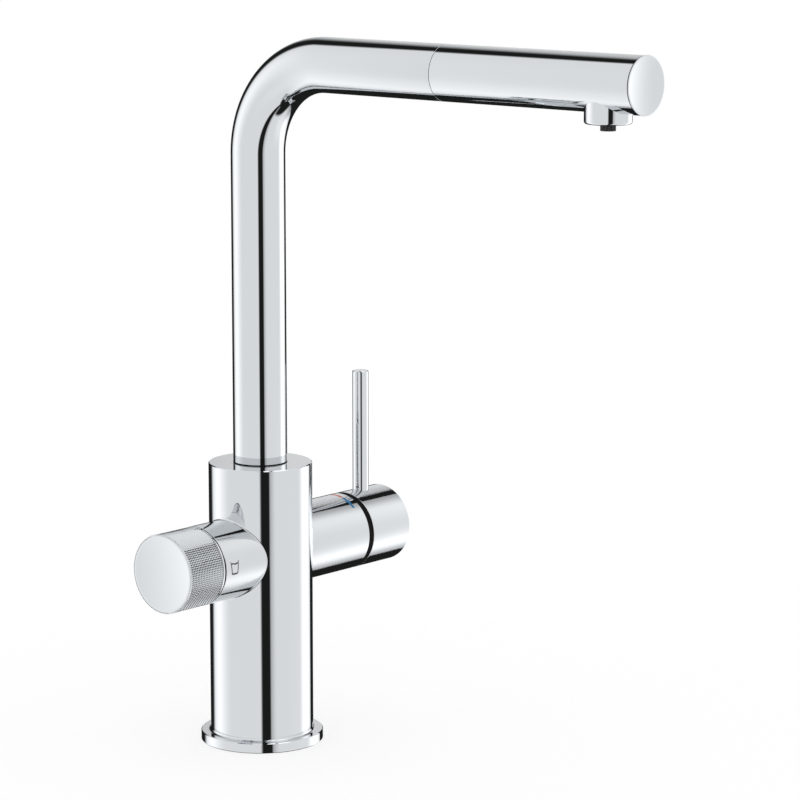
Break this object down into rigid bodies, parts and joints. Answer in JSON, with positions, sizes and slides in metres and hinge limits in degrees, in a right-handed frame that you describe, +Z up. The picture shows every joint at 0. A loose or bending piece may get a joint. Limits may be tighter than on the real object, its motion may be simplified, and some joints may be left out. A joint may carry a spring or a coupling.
{
  "type": "water filter kitchen tap",
  "caption": "Kitchen tap with a swivelling L-shaped pull-out spout, a side mixer lever and a knurled knob for filtered water.",
  "frame": {"origin": "on the body's upright axis at worktop level, the underside of the base flange", "axes": "+Z up, the spout points to -Y at rest, the filter knob stands on -X and the mixer lever on +X"},
  "size_m": [0.157, 0.2574, 0.3436],
  "materials": {
    "chrome": "polished chrome plate",
    "brass": "machined brass",
    "copper": "drawn copper tube",
    "zinc": "die-cast zinc",
    "steel": "stainless steel",
    "black_plastic": "black acetal, fine matt",
    "white_plastic": "natural acetal",
    "ceramic": "ground alumina",
    "rubber": "EPDM rubber",
    "hose_braid": "nylon braid over rubber",
    "clear_line": "food-grade polyethylene",
    "hot_print": "enamel fill",
    "cold_print": "enamel fill",
    "grey_print": "laser-marked line"
  },
  "bodies": {
    "base": {"base_flange": "chrome", "base_gasket": "rubber", "mounting_bush": "brass", "inlet_manifold": "brass", "manifold_screws": "steel", "water_risers": "copper", "waterway_core": "brass", "body_shell": "chrome", "mixer_housing": "chrome", "cartridge_nipple": "brass", "cartridge_body": "white_plastic", "ceramic_discs": "ceramic", "cartridge_nut": "brass", "shadow_ring": "black_plastic", "hot_mark": "hot_print", "cold_mark": "cold_print", "filter_sleeve": "chrome", "glass_mark": "grey_print", "valve_nipple": "brass", "filter_valve": "brass", "valve_nut": "brass", "knob_guide_ring": "black_plastic", "swivel_stop_ring": "white_plastic", "stop_screws": "steel", "swivel_bush": "white_plastic", "swivel_washer": "black_plastic"},
    "mixer_carrier": {"cartridge_rotor": "white_plastic"},
    "mixer_lever": {"lever_stem": "steel", "lever_pin": "steel", "lever_adapter": "zinc", "lever_cap": "chrome", "lever_rod": "chrome", "grub_screw": "steel"},
    "filter_control": {"valve_spindle": "brass", "spindle_clip": "steel", "filter_knob": "chrome", "knob_screw": "steel", "knob_face": "chrome"},
    "spout": {"spout_tube": "chrome", "spout_journal": "brass", "spout_o_rings": "rubber", "clip_ring": "steel", "stop_key": "steel", "dock_bush": "black_plastic", "hose_riser": "hose_braid", "filter_line_riser": "clear_line"},
    "pull_out_head": {"hose_front": "hose_braid", "filter_line_front": "clear_line", "head_shell": "chrome", "head_end_cap": "chrome", "head_spigot": "brass", "dock_o_ring": "rubber", "hose_connector": "brass", "check_valve": "white_plastic", "head_waterway": "white_plastic", "outlet_collar": "chrome", "aerator": "black_plastic", "filter_nozzle": "black_plastic"}
  },
  "joints": [
    {"name": "mixer_temperature", "type": "hinge", "parent": "base", "child": "mixer_carrier", "pos_m": [0.042, 0, 0.0935], "axis": [1, 0, 0], "range_deg": [-45, 45]},
    {"name": "mixer_flow", "type": "hinge", "parent": "mixer_carrier", "child": "mixer_lever", "pos_m": [0.042, 0, 0.0935], "axis": [0, 1, 0], "range_deg": [0, 9]},
    {"name": "filter_turn", "type": "hinge", "parent": "base", "child": "filter_control", "pos_m": [-0.06, 0, 0.0935], "axis": [-1, 0, 0], "range_deg": [0, 90]},
    {"name": "spout_swivel", "type": "hinge", "parent": "base", "child": "spout", "pos_m": [0, 0, 0.1335], "axis": [0, 0, 1], "range_deg": [-75, 75]},
    {"name": "head_pull_out", "type": "slide", "parent": "spout", "child": "pull_out_head", "axis": [0, -1, 0], "range_m": [0, 0.5], "deforming": ["hose_front", "filter_line_front"]}
  ]
}
